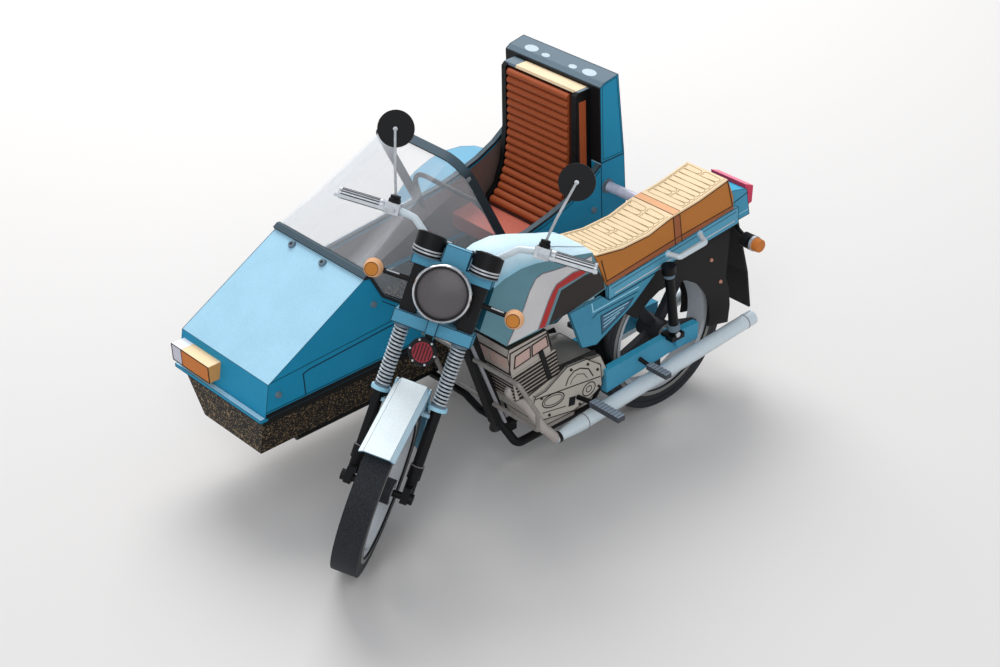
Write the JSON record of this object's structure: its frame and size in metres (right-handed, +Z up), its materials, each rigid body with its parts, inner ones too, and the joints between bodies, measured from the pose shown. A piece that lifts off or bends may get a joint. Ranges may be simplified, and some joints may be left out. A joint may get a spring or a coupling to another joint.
{
  "type": "sidecar motorcycle model",
  "caption": "Card scale model of a motorcycle with a blue sidecar; the front fork steers and every wheel rolls.",
  "frame": {"origin": "on the ground, under the middle of the model's bounding box", "axes": "+X is the rider's left, -Y is the way it rides, +Z is up"},
  "size_m": [0.1418, 0.1978, 0.137],
  "materials": {
    "black_card": "matte printed card",
    "black_wire": "matte painted wire",
    "blue_card": "matte printed card",
    "chrome": "chrome film",
    "engine_card": "matte printed card",
    "film": "clear film",
    "fin_card": "matte printed card",
    "frame_card": "matte painted card and wire",
    "hub_card": "matte printed card",
    "hull_card": "speckled printed card",
    "knurl": "cross-hatched silver",
    "lens_grey": "satin printed card",
    "orange": "matte printed card",
    "peach": "matte printed card",
    "peg_card": "matte printed card",
    "red": "matte printed card",
    "rim_card": "matte printed card",
    "rust_card": "matte printed card",
    "salmon_card": "matte printed card",
    "seat_card": "matte printed card",
    "silver": "satin silver paint",
    "sky_card": "matte printed card",
    "tread": "matte printed card",
    "white_silver": "satin pale silver paint"
  },
  "bodies": {
    "chassis": {"back_shell": "blue_card", "cockpit_rim": "black_card", "crash_bars": "frame_card", "cylinder_fins": "fin_card", "engine": "engine_card", "engine_covers": "engine_card", "exhaust_pipes": "silver", "foot_rests": "peg_card", "frame": "frame_card", "grab_hoop": "black_wire", "grab_rails": "white_silver", "nose_lamp_box": "peach", "nose_lamp_lens": "orange", "passenger_seat": "salmon_card", "rear_indicators": "orange", "rear_mudguard": "black_card", "rear_shocks": "black_card", "seat": "seat_card", "seat_back": "rust_card", "seat_back_sides": "black_card", "seat_rail": "blue_card", "side_panels": "blue_card", "sidecar_body": "sky_card", "sidecar_chassis": "black_card", "sidecar_hull": "hull_card", "sidecar_mudguard": "sky_card", "silencers": "white_silver", "swing_arms": "blue_card", "tail_lamp": "red", "tank": "sky_card", "upper_link": "chrome", "windscreen": "film"},
    "fork": {"lower_yoke": "sky_card", "upper_yoke": "sky_card", "fork_legs": "black_card", "fork_springs": "silver", "front_axle": "black_wire", "front_mudguard": "sky_card", "headlamp_shell": "black_card", "headlamp_ring": "chrome", "headlamp_lens": "lens_grey", "instrument_cups": "black_card", "handlebar": "white_silver", "grips": "knurl", "levers": "silver", "mirror_stalks": "silver", "mirrors": "black_card", "front_indicators": "orange", "horn": "red"},
    "front_wheel": {"front_tyre": "tread", "front_rim": "rim_card", "front_hub": "hub_card"},
    "rear_wheel": {"rear_tyre": "tread", "rear_rim": "rim_card", "rear_hub": "hub_card"},
    "sidecar_wheel": {"sidecar_wheel_tyre": "tread", "sidecar_wheel_rim": "rim_card", "sidecar_wheel_hub": "hub_card"}
  },
  "joints": [
    {"name": "steering", "type": "hinge", "parent": "chassis", "child": "fork", "pos_m": [0.0335, -0.03472, 0.07981], "axis": [0, 0.4787, 0.878], "range_deg": [-60, 2]},
    {"name": "front_wheel_spin", "type": "hinge", "parent": "fork", "child": "front_wheel", "pos_m": [0.04007, -0.07231, 0.02877], "axis": [0.7934, 0.5345, -0.2914], "continuous": true},
    {"name": "rear_wheel_spin", "type": "hinge", "parent": "chassis", "child": "rear_wheel", "pos_m": [0.0335, 0.05724, 0.0288], "axis": [1, 0, 0], "continuous": true},
    {"name": "sidecar_wheel_spin", "type": "hinge", "parent": "chassis", "child": "sidecar_wheel", "pos_m": [-0.0635, 0.05124, 0.028], "axis": [1, 0, 0], "continuous": true}
  ]
}
